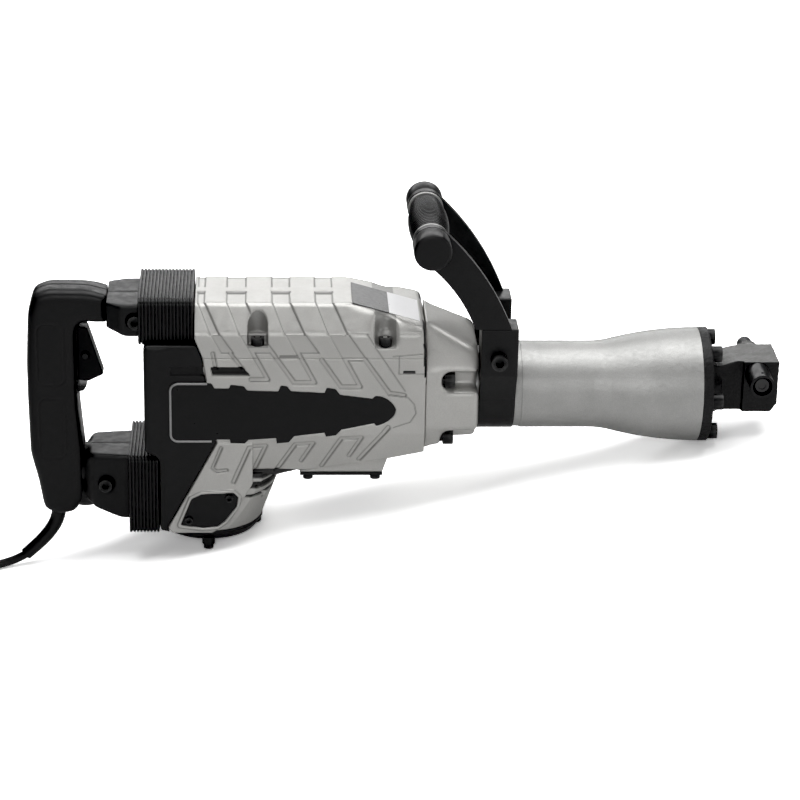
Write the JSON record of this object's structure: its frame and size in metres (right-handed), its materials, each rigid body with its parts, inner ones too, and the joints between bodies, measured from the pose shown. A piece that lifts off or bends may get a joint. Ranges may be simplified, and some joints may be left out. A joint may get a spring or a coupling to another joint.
{
  "type": "electric jackhammer",
  "caption": "Heavy electric demolition hammer lying down, with a sprung D-handle at the rear, a swinging cross handle at the front and a hexagonal tool socket with a retainer pin.",
  "frame": {"origin": "centre of the nose's front face, at the mouth of the hexagonal tool socket", "axes": "+X along the hammer axis out of the nose, +Z towards the raised side handle, +Y to the side of the retainer lever"},
  "size_m": [0.8003, 0.168, 0.3914],
  "materials": {
    "grey_paint": "silver-grey paint over the casting, satin, fine grain",
    "bare_aluminium": "fine brushed",
    "black_iron": "rough black",
    "black_paint": "satin black",
    "steel": "ground",
    "black_oxide": "black oxide",
    "laminations": "stacked sheet",
    "copper": "lacquered",
    "brush_brass": "stamped",
    "graphite": "pressed carbon",
    "gasket": "flat",
    "black_plastic": "fine grain",
    "trigger_plastic": "smooth",
    "panel": "satin film",
    "soft_rubber": "moulded"
  },
  "bodies": {
    "hammer_body": {"main_housing": "grey_paint", "top_cover": "grey_paint", "front_housing": "grey_paint", "rear_cover": "black_plastic", "motor_end_cap": "black_plastic", "bottom_cover": "black_paint", "bottom_gasket": "gasket", "brush_covers": "black_plastic", "name_plates": "panel", "barrel": "bare_aluminium", "front_cap": "black_iron", "hammer_cylinder": "steel", "impact_bolt_guide": "steel", "bearing_plate": "bare_aluminium", "ball_bearings": "steel", "stator_core": "laminations", "stator_windings": "copper", "brush_holders": "brush_brass", "carbon_brushes": "graphite", "retainer_cup": "black_paint", "retainer_spring": "steel", "damper_springs": "steel", "upper_bellows": "soft_rubber", "lower_bellows": "soft_rubber", "front_bolts": "black_oxide", "top_cover_bolts": "black_oxide", "housing_screws": "black_oxide"},
    "main_handle": {"grip_halves": "black_plastic", "upper_arm": "black_plastic", "lower_arm": "black_plastic", "handle_screws": "black_oxide", "trigger_bezel": "black_plastic", "power_switch": "black_plastic", "cord_guard": "soft_rubber", "power_cord": "soft_rubber"},
    "trigger": {"trigger": "trigger_plastic"},
    "lock_button": {"lock_button": "black_plastic"},
    "side_handle": {"side_handle_clamp": "black_paint", "clamp_bolt": "black_oxide", "side_handle_arms": "black_paint", "side_grip": "soft_rubber", "side_grip_collars": "bare_aluminium", "side_grip_caps": "black_plastic"},
    "crank": {"crankshaft": "steel", "crank_gear": "steel"},
    "idler": {"idler_gear": "steel", "idler_shaft": "steel"},
    "armature": {"armature_shaft": "steel", "armature_core": "laminations", "armature_windings": "copper", "commutator": "copper", "cooling_fan": "black_plastic"},
    "piston": {"piston": "bare_aluminium"},
    "rod": {"connecting_rod": "steel", "rod_pins": "steel"},
    "striker": {"striker": "steel"},
    "impact_bolt": {"impact_bolt": "steel"},
    "retainer_slider": {"retainer_collar": "steel"},
    "retainer_turner": {"retainer_pin": "steel", "retainer_lever": "black_iron"}
  },
  "joints": [
    {"name": "handle_isolation", "type": "slide", "parent": "hammer_body", "child": "main_handle", "axis": [1, 0, 0], "range_m": [0, 0.006], "stiffness_N_per_m": 9000, "deforming": ["damper_springs", "upper_bellows", "lower_bellows"]},
    {"name": "trigger_pull", "type": "hinge", "parent": "main_handle", "child": "trigger", "pos_m": [-0.696, 0, 0.056], "axis": [0, 1, 0], "range_deg": [0, 10], "stiffness_Nm_per_rad": 0.6, "springref_deg": -5.73},
    {"name": "lock_press", "type": "slide", "parent": "trigger", "child": "lock_button", "axis": [0, 1, 0], "range_m": [0, 0.003], "stiffness_N_per_m": 400, "springref_m": -0.0005},
    {"name": "side_handle_swing", "type": "hinge", "parent": "hammer_body", "child": "side_handle", "pos_m": [-0.282, 0, 0], "axis": [1, 0, 0], "continuous": true},
    {"name": "crank_spin", "type": "hinge", "parent": "hammer_body", "child": "crank", "pos_m": [-0.483, 0, 0], "axis": [0, 0, 1], "continuous": true},
    {"name": "idler_spin", "type": "hinge", "parent": "hammer_body", "child": "idler", "pos_m": [-0.529, 0, 0], "axis": [0, 0, 1], "continuous": true},
    {"name": "armature_spin", "type": "hinge", "parent": "hammer_body", "child": "armature", "pos_m": [-0.566, 0, 0], "axis": [0, 0, 1], "continuous": true},
    {"name": "piston_stroke", "type": "slide", "parent": "hammer_body", "child": "piston", "axis": [1, 0, 0], "range_m": [0, 0.056]},
    {"name": "rod_swing", "type": "hinge", "parent": "piston", "child": "rod", "pos_m": [-0.391, 0, 0], "axis": [0, 0, 1], "range_deg": [-13.5, 13.5]},
    {"name": "striker_slide", "type": "slide", "parent": "hammer_body", "child": "striker", "axis": [1, 0, 0], "range_m": [0, 0.036]},
    {"name": "impact_bolt_slide", "type": "slide", "parent": "hammer_body", "child": "impact_bolt", "axis": [1, 0, 0], "range_m": [0, 0.01]},
    {"name": "retainer_pull", "type": "slide", "parent": "hammer_body", "child": "retainer_slider", "axis": [0, 1, 0], "range_m": [0, 0.008], "stiffness_N_per_m": 1500, "springref_m": -0.004, "deforming": ["retainer_spring"]},
    {"name": "retainer_turn", "type": "hinge", "parent": "retainer_slider", "child": "retainer_turner", "pos_m": [-0.0216, 0, 0.0204], "axis": [0, 1, 0], "range_deg": [0, 180]}
  ],
  "couplings": [
    {"joint": "idler_spin", "follows": "crank_spin", "ratio": -3.1818},
    {"joint": "armature_spin", "follows": "crank_spin", "ratio": 8.5909}
  ]
}
